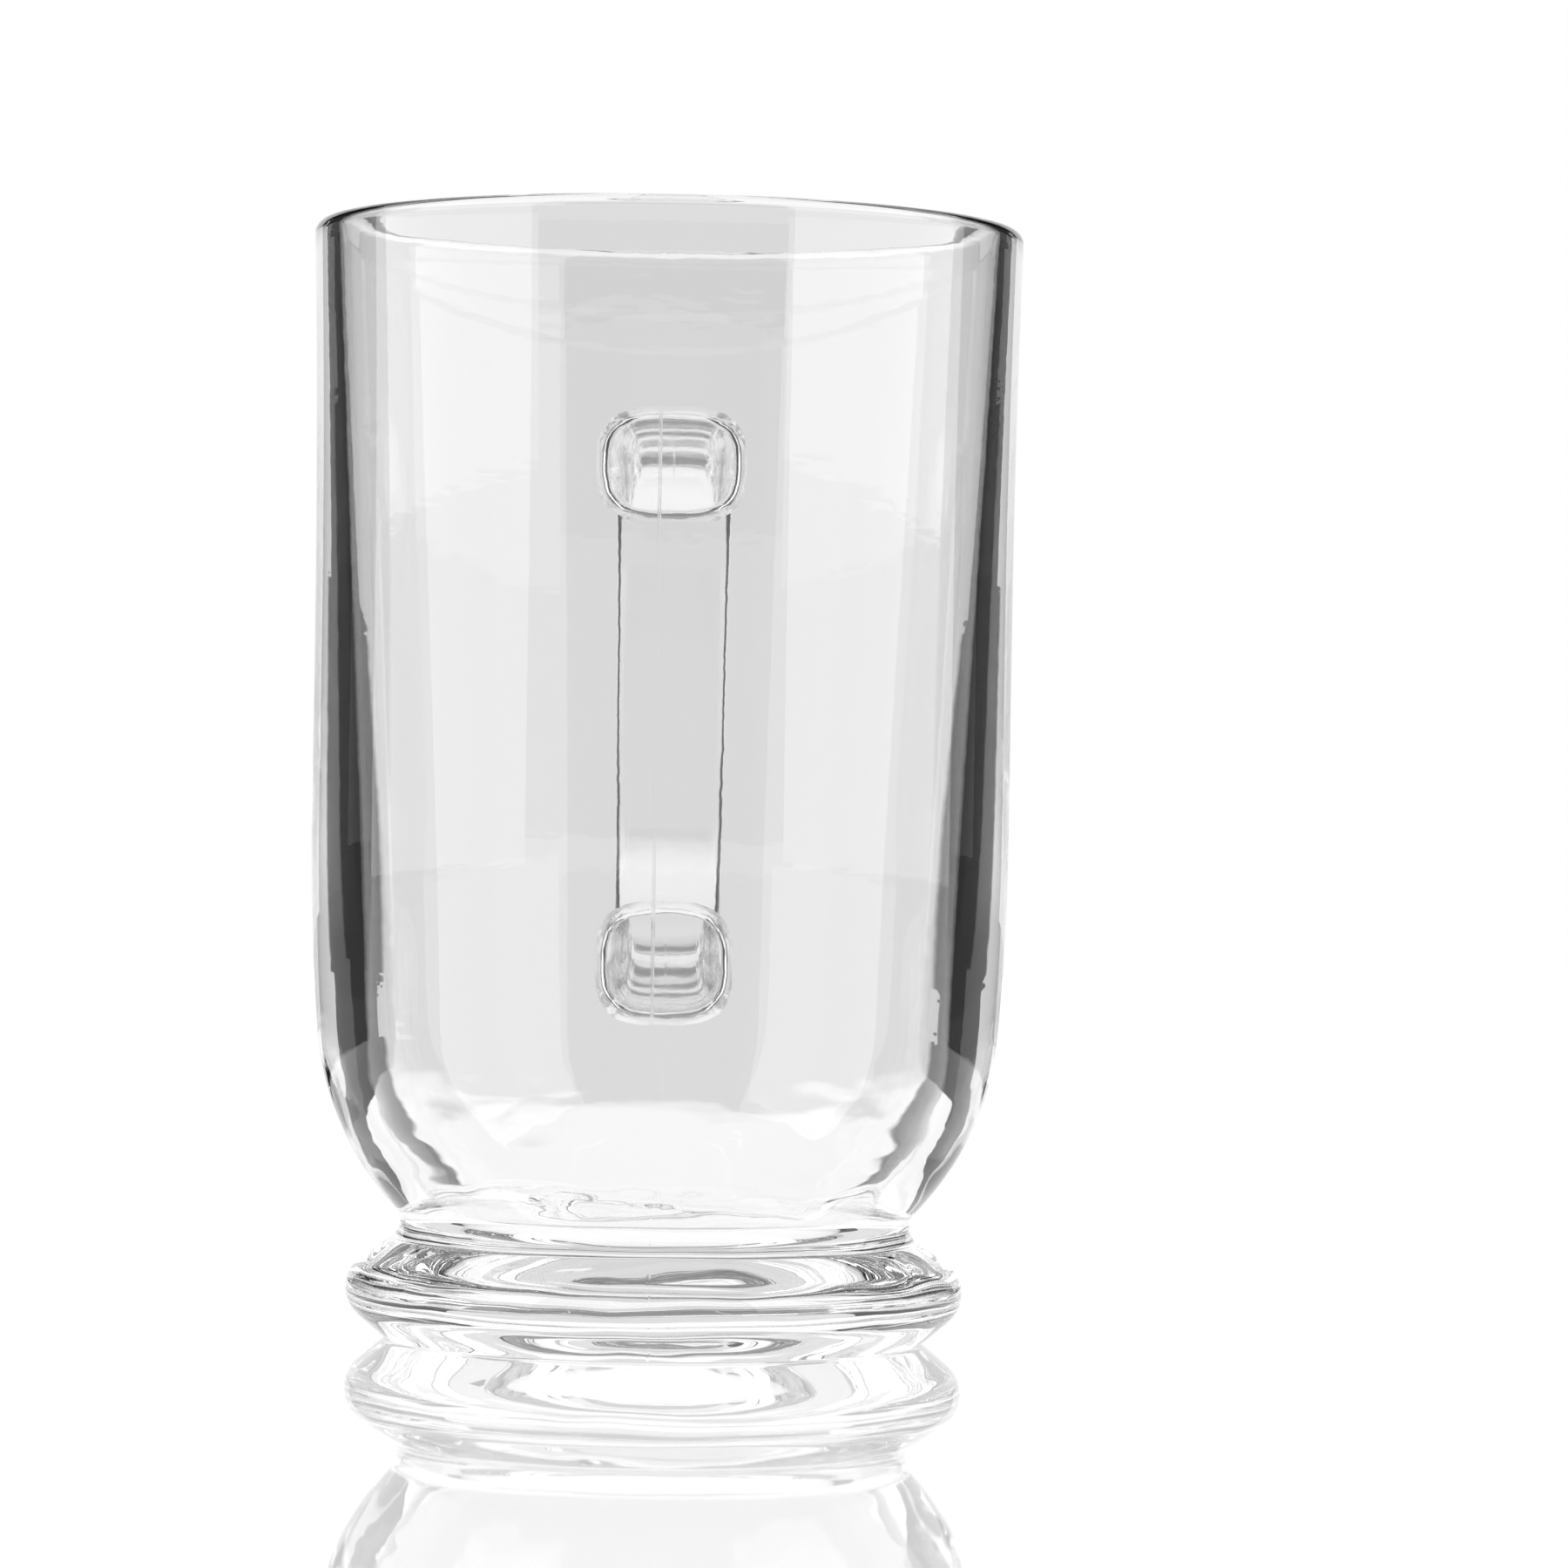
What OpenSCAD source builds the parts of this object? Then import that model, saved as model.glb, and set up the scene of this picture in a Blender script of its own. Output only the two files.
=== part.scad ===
// Irish coffee mug of clear pressed glass, in millimetres: a bowl, a solid round foot and a D-shaped handle.
// The mug's axis is Z, the foot's bearing ring stands on Z = 0 and the handle points along +X.

/* [Bowl] */
// Height of the mug from the bearing ring to the top of the lip
mug_h = 125.8; // [116:0.1:140]
// Outside diameter of the straight side
body_d = 78.8; // [74:0.1:90]
// How far the lip stands out past the straight side
lip_flare = 0.65; // [0.2:0.05:3]
// Height over which the side opens out to the lip
flare_h = 44; // [10:1:48]
// Thickness of the glass at the lip
lip_wall = 2.8; // [1.8:0.1:4]
// Slope of the inside wall from the vertical, in degrees
bore_draft = 2.75; // [0.5:0.05:3]
// Thickness of the glass in the middle, from the inside floor to the hollow under the foot
floor_t = 6.2; // [4:0.1:9]
// Radius of the round between the inside wall and the floor
floor_r = 28; // [16:0.5:30]

/* [Heel and waist] */
// Radius of the long ease where the side starts to draw in
ease_r = 300; // [120:10:500]
// Angle through which the ease turns, in degrees
ease_a = 4.5; // [1:0.1:8]
// Radius of the round heel under the bowl
heel_r = 33; // [28:0.5:38]
// Diameter of the waist between the bowl and the foot
waist_d = 57.7; // [48:0.1:62]
// Radius of the hollow around the waist
waist_r = 2.4; // [1.2:0.1:4]
// Height of the waist
waist_z = 13.2; // [11:0.1:20]

/* [Foot] */
// Diameter of the foot
foot_d = 69.7; // [64:0.1:80]
// Radius of the foot's rounded edge
edge_r = 4; // [3:0.1:5]
// Height of the middle of the rounded edge
edge_z = 5.7; // [5:0.1:7]
// Slope of the foot's underside from the vertical, in degrees
under_a = 50; // [40:1:58]
// Radius of the round where the foot meets the table
toe_r = 1.5; // [0.5:0.1:2.5]
// Width of the flat ring that the mug stands on
ring_w = 2.2; // [1:0.1:5]
// Depth of the hollow in the underside
hollow_h = 2; // [1:0.1:5]
// Thickness of the foot in the middle, under the round bottom of the bowl
seat_t = 3.7; // [1.5:0.1:4.5]

/* [Handle] */
// Height of the middle of the upper arm
upper_arm_z = 99.6; // [86:0.1:108]
// Width of the upper arm where it leaves the bowl
upper_arm_w = 16.2; // [10:0.1:20]
// Thickness of the upper arm where it leaves the bowl
upper_arm_t = 11.5; // [7:0.1:14]
// Height of the middle of the lower arm
lower_arm_z = 41.6; // [36:0.1:52]
// Width of the lower arm where it leaves the bowl
lower_arm_w = 15.4; // [9:0.1:20]
// Thickness of the lower arm where it leaves the bowl
lower_arm_t = 10.2; // [6:0.1:13]
// Width of the grip
grip_w = 15.6; // [8:0.1:18]
// Thickness of the grip
grip_t = 9.5; // [6:0.1:13]
// Reach of the handle from the bowl's side to the outer face of the grip
reach = 36.6; // [30:0.1:45]
// Radius of the two bends, along the middle of the glass
bend_r = 13; // [9:0.5:18]
// How far the glass swells where an arm runs into the bowl
root_swell = 1.2; // [0:0.1:3]
// Length over which that swelling dies away
root_len = 6; // [3:0.5:9]
// Squareness of the arms' section: 2 is an ellipse, more is squarer
arm_squareness = 3; // [2:0.1:4]
// Squareness of the grip's section
grip_squareness = 7; // [2:0.1:8]

/* [Hidden] */
$fn = 96;
glass = [0.86, 0.9, 0.9, 0.45];

// Steps along the round stretches of the outline
arc_steps = 16;
// Points around the handle's section
section_points = 36;
// Rings along each arm, each bend and the grip
arm_rings = 12;
bend_rings = 10;
grip_rings = 6;

// Points of an arc about a centre, from one angle to another
function arc(centre, r, from, to, steps = arc_steps) =
    [for (i = [0 : steps]) let (a = from + (to - from) * i / steps) centre + r * [cos(a), sin(a)]];

// Lip: the flare leaves the straight side upright and ends at flare_a, where the round of the lip begins
body_r = body_d / 2;
rim_r = body_r + lip_flare;
lip_r = lip_wall / 2;
flare_a = 2 * atan(lip_flare / flare_h);
flare_r = flare_h / sin(flare_a);
flare_top_z = mug_h - lip_r * (1 + sin(flare_a));
flare_centre = [body_r + flare_r, flare_top_z - flare_h];
lip_centre = [rim_r - lip_r * cos(flare_a), mug_h - lip_r];

// Heel: the ease and the heel share a tangent, and the heel runs into the hollow of the waist
heel_x = body_r - ease_r + (ease_r - heel_r) * cos(ease_a);
waist_x = waist_d / 2 + waist_r;
heel_z = waist_z + sqrt(pow(heel_r + waist_r, 2) - pow(waist_x - heel_x, 2));
heel_a = atan2(heel_z - waist_z, waist_x - heel_x);
ease_centre = [body_r - ease_r, heel_z + (ease_r - heel_r) * sin(ease_a)];
heel_centre = [heel_x, heel_z];
waist_centre = [waist_x, waist_z];

// Inside: a sloping wall, a round and a level floor
floor_z = hollow_h + floor_t;
bore_top = lip_centre + lip_r * [-cos(bore_draft), sin(bore_draft)];
floor_round_z = floor_z + floor_r;
floor_round_x = bore_top[0]
    - (floor_r + (bore_top[1] - floor_round_z) * sin(bore_draft)) / cos(bore_draft);
floor_centre = [floor_round_x, floor_round_z];

// Foot: a slope that is tangent to the waist and to the rounded edge, then the underside and the toe
edge_centre = [foot_d / 2 - edge_r, edge_z];
edge_to_waist = waist_centre - edge_centre;
slope_a = atan2(edge_to_waist[1], edge_to_waist[0]) - acos((edge_r + waist_r) / norm(edge_to_waist));
edge_end = edge_centre + edge_r * [cos(under_a), -sin(under_a)];
toe_x = edge_end[0] + ((toe_r - edge_end[1]) * sin(under_a) - toe_r) / cos(under_a);
ring_in_r = toe_x - ring_w;
hollow_r = (pow(ring_in_r, 2) + pow(hollow_h, 2)) / (2 * hollow_h);
hollow_centre = [0, hollow_h - hollow_r];
hollow_a = asin(ring_in_r / hollow_r);

// Seat: the round bottom of the bowl, fused to the dished top of the foot
seat_z = hollow_h + seat_t;
seat_r = (pow(waist_d / 2, 2) + pow(waist_z - seat_z, 2)) / (2 * (waist_z - seat_z));
seat_a = asin(waist_d / 2 / seat_r);
seat = arc([0, seat_z + seat_r], seat_r, -90, seat_a - 90);

// Outside of the bowl from the lip down to the waist
bowl_side = concat(
    arc(flare_centre, flare_r, 180 - flare_a, 180),
    arc(ease_centre, ease_r, 0, -ease_a),
    arc(heel_centre, heel_r, -ease_a, -heel_a),
    arc(waist_centre, waist_r, 180 - heel_a, 180)
);

// Inside of the bowl from the middle of the floor up to the lip, and over it
bowl_inside = concat(
    [[0, floor_z]],
    arc(floor_centre, floor_r, -90, -bore_draft),
    arc(lip_centre, lip_r, 180 - bore_draft, -flare_a)
);

foot_outline = concat(
    [for (i = [0 : arc_steps - 1]) seat[i]],
    arc(waist_centre, waist_r, 180, 180 + slope_a),
    arc(edge_centre, edge_r, slope_a, -under_a),
    arc([toe_x, toe_r], toe_r, -under_a, -90),
    arc(hollow_centre, hollow_r, 90 - hollow_a, 90)
);

// Handle: the middle line runs out along the upper arm, down the grip and back along the lower arm
grip_x = body_r + reach - grip_t / 2;
root_x = body_r / 2;
arm_end_x = grip_x - bend_r;
arm_l = arm_end_x - root_x;
bend_l = PI / 2 * bend_r;
grip_l = upper_arm_z - lower_arm_z - 2 * bend_r;
path_l = 2 * arm_l + 2 * bend_l + grip_l;

// Place and heading on the middle line, as [x, z, heading], at a distance along it
function path_at(s) =
    s < arm_l ? [root_x + s, upper_arm_z, 0] :
    s < arm_l + bend_l ? bend_at((s - arm_l) / bend_l * 90, upper_arm_z - bend_r, 0) :
    s < arm_l + bend_l + grip_l ? [grip_x, upper_arm_z - bend_r - (s - arm_l - bend_l), -90] :
    s < arm_l + 2 * bend_l + grip_l ?
        bend_at((s - arm_l - bend_l - grip_l) / bend_l * 90, lower_arm_z + bend_r, -90) :
    [root_x + path_l - s, lower_arm_z, -180];
function bend_at(turn, centre_z, start) =
    [arm_end_x + bend_r * sin(turn - start), centre_z + bend_r * cos(turn - start), start - turn];

// Smooth blend from 0 to 1
function ease_in(t) = let (u = min(max(t, 0), 1)) u * u * (3 - 2 * u);

// A size along the handle: the upper arm's, then the grip's in the middle, then the lower arm's
function along(s, upper, grip, lower) =
    let (visible_l = path_l / 2 - (body_r - root_x), t = ease_in((path_l / 2 - abs(s - path_l / 2)
        - (body_r - root_x)) / visible_l))
    s < path_l / 2 ? upper + (grip - upper) * t : lower + (grip - lower) * t;

// Extra glass close to the bowl
function swell(x) = root_swell * pow(1 - min(max((x - body_r) / root_len, 0), 1), 2);

// One ring of the handle's section at a distance along the middle line
function signed_power(v, p) = sign(v) * pow(abs(v), p);
function ring_at(s) =
    let (
        p = path_at(s),
        half_w = along(s, upper_arm_w, grip_w, lower_arm_w) / 2 + swell(p[0]),
        half_t = along(s, upper_arm_t, grip_t, lower_arm_t) / 2 + swell(p[0]),
        power = 2 / along(s, arm_squareness, grip_squareness, arm_squareness)
    )
    [for (i = [0 : section_points - 1])
        let (
            a = 360 * i / section_points,
            across = half_w * signed_power(cos(a), power),
            out = half_t * signed_power(sin(a), power)
        )
        [p[0] - out * sin(p[2]), across, p[1] + out * cos(p[2])]];

// Distances along the middle line at which the rings stand
function steps(from, length, count) = [for (i = [0 : count - 1]) from + length * i / count];
ring_places = concat(
    [0],
    steps(body_r - root_x - lip_wall, arm_l - (body_r - root_x - lip_wall), arm_rings),
    steps(arm_l, bend_l, bend_rings),
    steps(arm_l + bend_l, grip_l, grip_rings),
    steps(arm_l + bend_l + grip_l, bend_l, bend_rings),
    steps(arm_l + 2 * bend_l + grip_l, arm_l - (body_r - root_x - lip_wall), arm_rings),
    [path_l - (body_r - root_x - lip_wall), path_l]
);
handle_rings = [for (s = ring_places) ring_at(s)];
last_ring = len(handle_rings) - 1;

// Faces of a tube through the rings, with both ends closed
function tube_faces(rings, points) = concat(
    [[for (i = [0 : points - 1]) i]],
    [for (r = [0 : rings - 1], i = [0 : points - 1])
        let (j = (i + 1) % points, low = r * points, high = low + points)
        each [[low + i, high + i, high + j], [low + i, high + j, low + j]]],
    [[for (i = [points - 1 : -1 : 0]) rings * points + i]]
);

// Bowl: the drinking vessel, open at the top and round under the heel
module bowl() {
    color(glass)
        rotate_extrude()
            polygon(concat(bowl_inside, bowl_side, [for (i = [arc_steps - 1 : -1 : 0]) seat[i]]));
}

// Foot: the solid disc with a rounded edge that the mug stands on
module foot() {
    color(glass)
        rotate_extrude()
            polygon(foot_outline);
}

// The bowl's outer form without its hollow, which the handle's roots are seated on
module bowl_form() {
    rotate_extrude()
        polygon(concat([[0, flare_top_z]], bowl_side, [[0, waist_z]]));
}

// Handle: one bent bar of glass, its two roots seated on the bowl's side
module handle() {
    color(glass)
        difference() {
            polyhedron(
                points = [for (ring = handle_rings) each ring],
                faces = tube_faces(last_ring, section_points),
                convexity = 6
            );
            bowl_form();
        }
}

bowl();
foot();
handle();
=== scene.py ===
# %% [markdown]
# # Irish coffee mug of clear pressed glass
# This lesson dresses a CAD mug for its portrait. The CAD model fixes every size, so it is loaded first
# and left alone. Then come the camera, the small studio, the glass and the three pieces that wear it:
# bowl, foot and handle.
#
# Clear glass shows little but its surroundings. So most of the work lies in what stands around the mug
# and in the thickness of its walls, and only a little of it in the material.

# %% Load the fixed frame
import math

import bmesh
import bpy
from mathutils import Matrix, Vector


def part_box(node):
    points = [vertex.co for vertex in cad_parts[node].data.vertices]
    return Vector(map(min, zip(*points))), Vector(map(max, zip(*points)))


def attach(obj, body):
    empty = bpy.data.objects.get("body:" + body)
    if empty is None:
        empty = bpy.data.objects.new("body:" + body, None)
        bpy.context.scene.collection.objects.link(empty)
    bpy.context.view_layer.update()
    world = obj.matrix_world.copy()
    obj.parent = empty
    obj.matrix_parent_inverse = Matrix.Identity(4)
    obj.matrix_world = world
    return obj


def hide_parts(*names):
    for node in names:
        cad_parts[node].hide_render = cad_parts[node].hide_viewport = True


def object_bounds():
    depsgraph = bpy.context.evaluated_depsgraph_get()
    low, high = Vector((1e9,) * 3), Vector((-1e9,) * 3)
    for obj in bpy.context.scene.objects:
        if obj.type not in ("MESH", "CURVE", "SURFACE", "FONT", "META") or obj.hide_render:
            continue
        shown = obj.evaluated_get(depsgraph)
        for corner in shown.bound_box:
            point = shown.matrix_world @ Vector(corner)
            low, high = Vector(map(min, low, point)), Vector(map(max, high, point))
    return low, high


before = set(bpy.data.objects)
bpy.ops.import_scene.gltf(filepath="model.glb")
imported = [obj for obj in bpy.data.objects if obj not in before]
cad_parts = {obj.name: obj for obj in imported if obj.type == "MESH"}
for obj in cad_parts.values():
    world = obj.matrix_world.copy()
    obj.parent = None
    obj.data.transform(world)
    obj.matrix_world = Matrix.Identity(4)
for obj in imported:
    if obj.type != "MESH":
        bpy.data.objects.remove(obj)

MM = 0.001
cad_low, cad_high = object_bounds()
print("CAD box in mm:", [round(v / MM, 1) for v in (*cad_low, *cad_high)])

# %% [markdown]
# ## View and bounces
# A ray that meets a glass mug crosses the near wall, the far wall and often the handle, and each of them
# has two faces. With too few bounces it dies inside the glass and leaves a black spot, so the limits are
# set high. The Standard view shows a strength of 1 as plain white, which makes a white background easy to
# judge.

# %% Set the view and the bounces
THROUGH_BOUNCES = 40
MIRROR_BOUNCES = 16

scene = bpy.context.scene
scene.view_settings.view_transform = "Standard"
scene.cycles.max_bounces = THROUGH_BOUNCES
scene.cycles.transmission_bounces = THROUGH_BOUNCES
scene.cycles.transparent_max_bounces = THROUGH_BOUNCES
scene.cycles.glossy_bounces = MIRROR_BOUNCES
print("bounces through glass:", THROUGH_BOUNCES, "in mirrors:", MIRROR_BOUNCES)

# %% [markdown]
# ## Camera
# The picture is taken with a long lens, about level with the middle of the mug, from the side away from
# the handle. A camera can be aimed with a Track To constraint. Here its three directions are worked out
# instead: where it looks, what is right and what is up. That way a small turn about the mug and a small
# roll are each set by one value. The lens and the aim follow from where the mug's axis and the horizon
# fall in a square picture.

# %% Make the camera
PHOTO_SIDE = 1800
AXIS_PIXEL_X = 759.5
HORIZON_PIXEL_Y = 916.0
FOCAL_PIXELS = 6764.0
SENSOR_WIDTH_MM = 36.0
CAMERA_DISTANCE = 667.4 * MM
CAMERA_HEIGHT = 61.5 * MM
CAMERA_TURN = math.radians(1.0)
CAMERA_ROLL = math.radians(0.888)

away = Vector((math.cos(CAMERA_TURN), math.sin(CAMERA_TURN), 0))


def camera_turn():
    """Turn of the camera, from the way that it looks and its roll about that way."""
    swing = math.atan((PHOTO_SIDE / 2 - AXIS_PIXEL_X) / FOCAL_PIXELS)
    pitch = math.atan((HORIZON_PIXEL_Y - PHOTO_SIDE / 2) / FOCAL_PIXELS)
    heading = CAMERA_TURN - swing
    level = math.cos(pitch)
    look = Vector((math.cos(heading) * level, math.sin(heading) * level, math.sin(pitch)))
    right = look.cross(Vector((0, 0, 1))).normalized()
    up = right.cross(look)
    rolled_right = right * math.cos(CAMERA_ROLL) + up * math.sin(CAMERA_ROLL)
    rolled_up = up * math.cos(CAMERA_ROLL) - right * math.sin(CAMERA_ROLL)
    return Matrix((rolled_right, rolled_up, -look)).transposed().to_4x4()


def make_camera():
    data = bpy.data.cameras.new("portrait_camera")
    data.sensor_width = SENSOR_WIDTH_MM
    data.lens = FOCAL_PIXELS / PHOTO_SIDE * SENSOR_WIDTH_MM
    camera = bpy.data.objects.new("portrait_camera", data)
    scene.collection.objects.link(camera)
    place = -away * CAMERA_DISTANCE + Vector((0, 0, CAMERA_HEIGHT))
    camera.matrix_world = Matrix.Translation(place) @ camera_turn()
    scene.camera = camera
    return camera


camera = make_camera()
print("camera at", [round(v, 4) for v in camera.matrix_world.translation], "lens", round(camera.data.lens, 1))

# %% [markdown]
# ## Studio
# The mug stands on a white table before a white sheet, with a dark flag on each side of the sheet and a
# tall softbox on each side of the camera. The sheet shows through the middle of the glass. Towards its
# edges the glass bends the view so far that the flags come in, and they draw the dark bands that give the
# mug its outline. The softboxes are mirrored as pale upright bands.
#
# Area lamps could do this too, but a lamp is flat, and it is hard to say where its mirror image ends. A
# curved card that glows is set by the two bearings where it starts and stops, and those decide where each
# band falls.
#
# Node trees take many lines, so a few helpers make the nodes that come up again and again.

# %% Helpers for nodes
WHITE = (1, 1, 1, 1)


def new_material(name):
    material = bpy.data.materials.new(name)
    material.use_nodes = True
    material.node_tree.nodes.clear()
    return material, material.node_tree.nodes, material.node_tree.links


def set_input(links, socket, value):
    """Give a socket a number, or link it where the value is another node's output."""
    if isinstance(value, bpy.types.NodeSocket):
        links.new(value, socket)
    else:
        socket.default_value = value


def calculated(nodes, links, operation, *values):
    """Output of a Math node."""
    node = nodes.new("ShaderNodeMath")
    node.operation = operation
    for socket, value in zip(node.inputs, values):
        set_input(links, socket, value)
    return node.outputs["Value"]


def ranged(nodes, links, value, span, ends, smooth=True):
    """Output of a Map Range node: it goes from one end to the other while the value crosses the span."""
    node = nodes.new("ShaderNodeMapRange")
    node.interpolation_type = "SMOOTHSTEP" if smooth else "LINEAR"
    set_input(links, node.inputs["Value"], value)
    set_input(links, node.inputs["From Min"], span[0])
    set_input(links, node.inputs["From Max"], span[1])
    set_input(links, node.inputs["To Min"], ends[0])
    set_input(links, node.inputs["To Max"], ends[1])
    return node.outputs["Result"]


def glowing(nodes, links, strength):
    """Output of a white Emission node."""
    node = nodes.new("ShaderNodeEmission")
    node.inputs["Color"].default_value = WHITE
    set_input(links, node.inputs["Strength"], strength)
    return node.outputs["Emission"]


def mixed(nodes, links, amount, first, second):
    """Output of a Mix Shader node: the first surface at an amount of 0, the second at 1."""
    node = nodes.new("ShaderNodeMixShader")
    links.new(amount, node.inputs["Fac"])
    links.new(first, node.inputs[1])
    links.new(second, node.inputs[2])
    return node.outputs["Shader"]


def set_surface(nodes, links, surface):
    output = nodes.new("ShaderNodeOutputMaterial")
    links.new(surface, output.inputs["Surface"])


def card_material(name, strength):
    material, nodes, links = new_material(name)
    set_surface(nodes, links, glowing(nodes, links, strength))
    return material


# %% [markdown]
# ## Backdrop
# The sheet hangs behind the mug and is plain white to the camera. A Light Path node tells a ray that has
# come through glass from one that has not, and through the glass the sheet is a little greyer, so that
# the mug stands out from the white around it. Each card is made by spinning one upright edge about the
# mug's axis.

# %% Curved cards and the backdrop
STUDIO_RADIUS = 1.4
CARD_STEPS = 12
BACKDROP_HALF_DEG = 28.0
BACKDROP_TOP = 1.2
BACKDROP_GLOW = 0.76


def curved_card(name, facing, start_deg, stop_deg, height, material):
    """Upright card about the mug's axis, between two bearings off a direction."""
    bm = bmesh.new()
    first = Matrix.Rotation(math.radians(start_deg), 3, "Z") @ facing * STUDIO_RADIUS
    bottom = bm.verts.new((first.x, first.y, 0))
    top = bm.verts.new((first.x, first.y, height))
    edge = bm.edges.new((bottom, top))
    bmesh.ops.spin(bm, geom=[bottom, top, edge], cent=(0, 0, 0), axis=(0, 0, 1),
                   angle=math.radians(stop_deg - start_deg), steps=CARD_STEPS, use_merge=False)
    mesh = bpy.data.meshes.new(name)
    bm.to_mesh(mesh)
    bm.free()
    card = bpy.data.objects.new(name, mesh)
    card.data.materials.append(material)
    scene.collection.objects.link(card)
    return card


def backdrop_material():
    material, nodes, links = new_material("backdrop_white")
    through_glass = nodes.new("ShaderNodeLightPath").outputs["Is Transmission Ray"]
    strength = ranged(nodes, links, through_glass, (0.0, 1.0), (1.0, BACKDROP_GLOW), smooth=False)
    set_surface(nodes, links, glowing(nodes, links, strength))
    return material


backdrop = curved_card("backdrop", away, -BACKDROP_HALF_DEG, BACKDROP_HALF_DEG,
                       BACKDROP_TOP, backdrop_material())
print("backdrop faces:", len(backdrop.data.polygons))

# %% [markdown]
# ## Softboxes and flags
# A flag starts where the sheet ends, so there is no gap of room between them. The softboxes stand in
# front and to the sides. The left one starts a little farther from the camera than the right one, which
# makes its band narrower. The camera itself sees none of them: they only show in the glass.

# %% Softboxes and flags
FLAG_STOP_DEG = 57.0
FLAG_GLOW = 0.04
SOFTBOX_START_DEG = {"left": 44.0, "right": 39.5}
SOFTBOX_STOP_DEG = 108.0
SOFTBOX_TOP = 1.3
SOFTBOX_STRENGTH = 1.95

softbox_material = card_material("softbox_white", SOFTBOX_STRENGTH)
flag_material = card_material("black_flag", FLAG_GLOW)
for side, word in ((-1, "left"), (1, "right")):
    softbox_start = side * SOFTBOX_START_DEG[word]
    softbox = curved_card("softbox_" + word, -away, softbox_start, side * SOFTBOX_STOP_DEG,
                          SOFTBOX_TOP, softbox_material)
    flag = curved_card("flag_" + word, away, -side * BACKDROP_HALF_DEG, -side * FLAG_STOP_DEG,
                       BACKDROP_TOP, flag_material)
    softbox.visible_camera = False
    flag.visible_camera = False
    print(word, "softbox from", softbox_start, "degrees, flag to", -side * FLAG_STOP_DEG)

# %% [markdown]
# ## Room
# The world is what a ray meets where no card stands. It is plain white to the camera, so the picture
# stays white beyond the sheet. For every other ray it is a dim room, so the glass isn't flooded with
# light from all around.

# %% World
ROOM_STRENGTH = 0.3
ROOM_SEEN = 1.0


def make_world():
    world = bpy.data.worlds.new("studio_room")
    world.use_nodes = True
    nodes, links = world.node_tree.nodes, world.node_tree.links
    nodes.clear()
    room = nodes.new("ShaderNodeBackground")
    room.inputs["Strength"].default_value = ROOM_STRENGTH
    white = nodes.new("ShaderNodeBackground")
    white.inputs["Strength"].default_value = ROOM_SEEN
    seen = nodes.new("ShaderNodeLightPath").outputs["Is Camera Ray"]
    output = nodes.new("ShaderNodeOutputWorld")
    lit = mixed(nodes, links, seen, room.outputs["Background"], white.outputs["Background"])
    links.new(lit, output.inputs["Surface"])
    scene.world = world


make_world()
print("world:", scene.world.name)

# %% [markdown]
# ## Table as the glass shows it
# The table is one white disc, and its material tells two kinds of ray apart. This first part is for rays
# that have been bent or mirrored by the glass. They meet a plain glow, because a lit surface seen through
# a mug takes very many samples to come out clean.
#
# The glow fades with distance into that of the sheet, as a sweep of paper does. On each side behind the
# mug it has a dark sector, as where a table lies out of the light. Those two sectors draw the dark
# slivers in the heel and in the foot. They are narrow near the mug and widen farther out. A mirrored ray
# meets them only farther out.

# %% Glow of the table in the glass
TABLE_GLOW = 1.05
SWEEP_NEAR = 0.35
SWEEP_FAR = 0.9
DARK_GLOW = 0.03
DARK_START_DEG = 24.0
DARK_NARROW_DEG = 38.0
DARK_STOP_DEG = 72.0
DARK_EDGE_DEG = 1.5
DARK_NEAR = 0.07
DARK_NEAR_MIRRORED = 0.22
DARK_WIDE_AT = 0.3
DARK_FADE = 0.03


def from_axis(nodes, links):
    """Place on the table, and its distance from the mug's axis."""
    place = nodes.new("ShaderNodeTexCoord").outputs["Object"]
    length = nodes.new("ShaderNodeVectorMath")
    length.operation = "LENGTH"
    links.new(place, length.inputs[0])
    return place, length.outputs["Value"]


def bearing_off(nodes, links, place):
    """Angle on the table between the way that the camera looks and the place, the same on both sides."""
    turn = nodes.new("ShaderNodeMapping")
    turn.inputs["Rotation"].default_value = (0, 0, -CAMERA_TURN)
    split = nodes.new("ShaderNodeSeparateXYZ")
    links.new(place, turn.inputs["Vector"])
    links.new(turn.outputs["Vector"], split.inputs[0])
    bearing = calculated(nodes, links, "ARCTAN2", split.outputs["Y"], split.outputs["X"])
    return calculated(nodes, links, "ABSOLUTE", bearing)


def table_in_glass(nodes, links, light_path):
    place, distance = from_axis(nodes, links)
    bearing = bearing_off(nodes, links, place)
    glow = ranged(nodes, links, distance, (SWEEP_NEAR, SWEEP_FAR), (TABLE_GLOW, BACKDROP_GLOW))
    widths = (math.radians(DARK_NARROW_DEG), math.radians(DARK_STOP_DEG))
    stop = ranged(nodes, links, distance, (DARK_NEAR, DARK_WIDE_AT), widths, smooth=False)
    edge = math.radians(DARK_EDGE_DEG)
    for limit, after in ((math.radians(DARK_START_DEG), DARK_GLOW), (stop, TABLE_GLOW)):
        past = calculated(nodes, links, "SUBTRACT", bearing, limit)
        glow = ranged(nodes, links, past, (-edge, edge), (glow, after))
    through_glass = light_path.outputs["Is Transmission Ray"]
    near = ranged(nodes, links, through_glass, (0.0, 1.0), (DARK_NEAR_MIRRORED, DARK_NEAR), smooth=False)
    beyond = calculated(nodes, links, "SUBTRACT", distance, near)
    glow = ranged(nodes, links, beyond, (0.0, DARK_FADE), (TABLE_GLOW, glow))
    return glowing(nodes, links, glow)


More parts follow.
